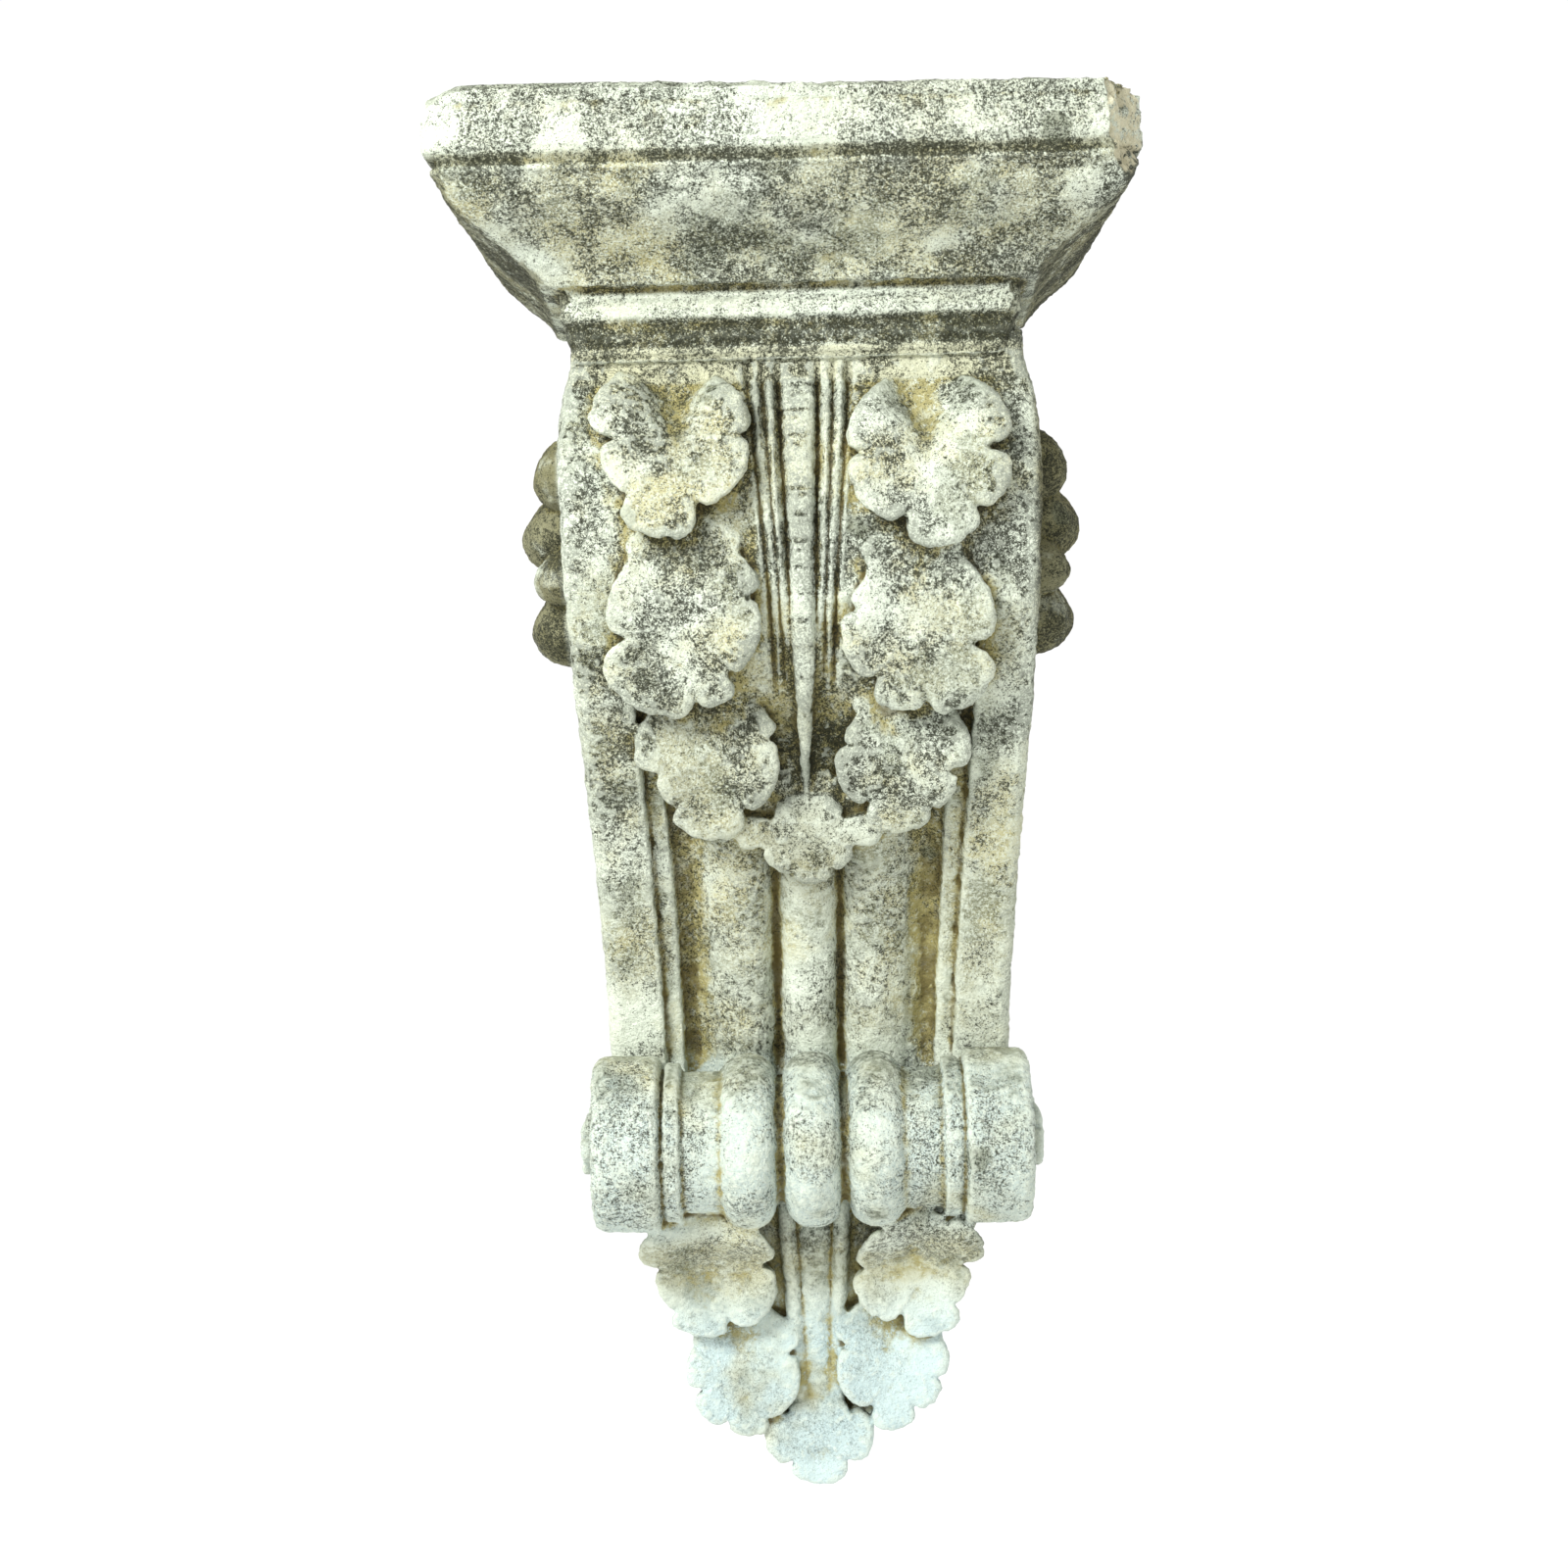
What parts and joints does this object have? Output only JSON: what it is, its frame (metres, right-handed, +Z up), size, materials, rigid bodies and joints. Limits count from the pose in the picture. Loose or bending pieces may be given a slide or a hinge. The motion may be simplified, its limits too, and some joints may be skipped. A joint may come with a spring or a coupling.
{
  "type": "carved stone corbel",
  "caption": "Carved stone scroll corbel with a moulded cap, leaves on its front and sides, beads running over a lower roll, and a hanging point of leaves.",
  "frame": {"origin": "middle of the flat back, halfway up the whole height", "axes": "+Z up, +Y back into the wall, -Y out towards the viewer, +X to the viewer's right"},
  "size_m": [0.38, 0.29, 0.7939],
  "materials": {
    "stone": "weathered pale limestone, rough, with dark lichen and ochre in the hollows"
  },
  "bodies": {
    "root": {"corbel": "stone"}
  },
  "joints": []
}
